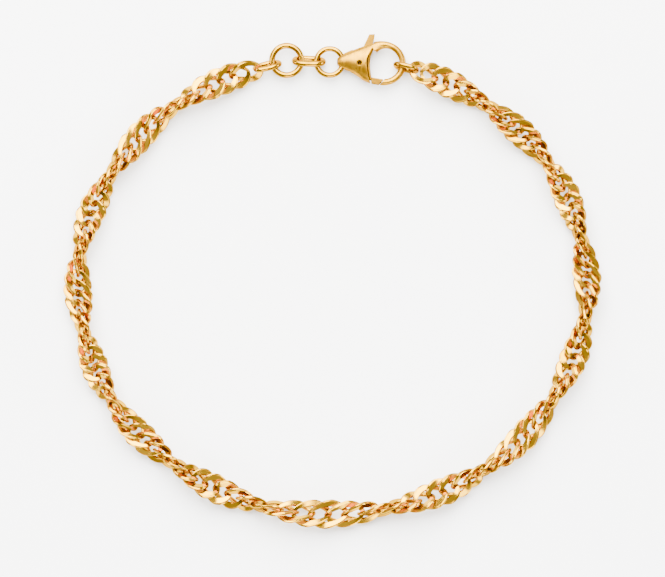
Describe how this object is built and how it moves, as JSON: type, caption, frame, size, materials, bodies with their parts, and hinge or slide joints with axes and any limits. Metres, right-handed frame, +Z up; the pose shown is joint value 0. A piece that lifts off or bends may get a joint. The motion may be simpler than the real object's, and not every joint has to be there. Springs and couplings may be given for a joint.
{
  "type": "singapore chain bracelet",
  "caption": "Closed loop of flat twisted interlocking gold links, with jump links, rings and a lobster clasp whose sprung lever opens, lying flat as an oval.",
  "frame": {"origin": "on the table, under the middle of the loop's footprint", "axes": "+X along the long way of the oval and along the clasp from its rings to its hook, +Y towards the clasp's side of the loop, +Z up from the table"},
  "size_m": [0.0676, 0.0621, 0.0037],
  "materials": {
    "cut_gold": "bright cut flats, polished",
    "polished_gold": "polished wire",
    "cast_gold": "polished casting"
  },
  "bodies": {
    "bracelet": {"chain": "cut_gold", "jump_link_left": "polished_gold", "ring_large": "polished_gold", "connecting_link": "polished_gold", "ring_small": "polished_gold", "clasp_body": "cast_gold", "clasp_rivet": "cast_gold", "jump_link_right": "polished_gold"},
    "lever": {"clasp_lever": "cast_gold"}
  },
  "joints": [
    {"name": "lever_open", "type": "hinge", "parent": "bracelet", "child": "lever", "pos_m": [0.00337, 0.02747, 0.00128], "axis": [0, 0, 1], "range_deg": [0, 25], "stiffness_Nm_per_rad": 0.003, "springref_deg": -17.19}
  ]
}
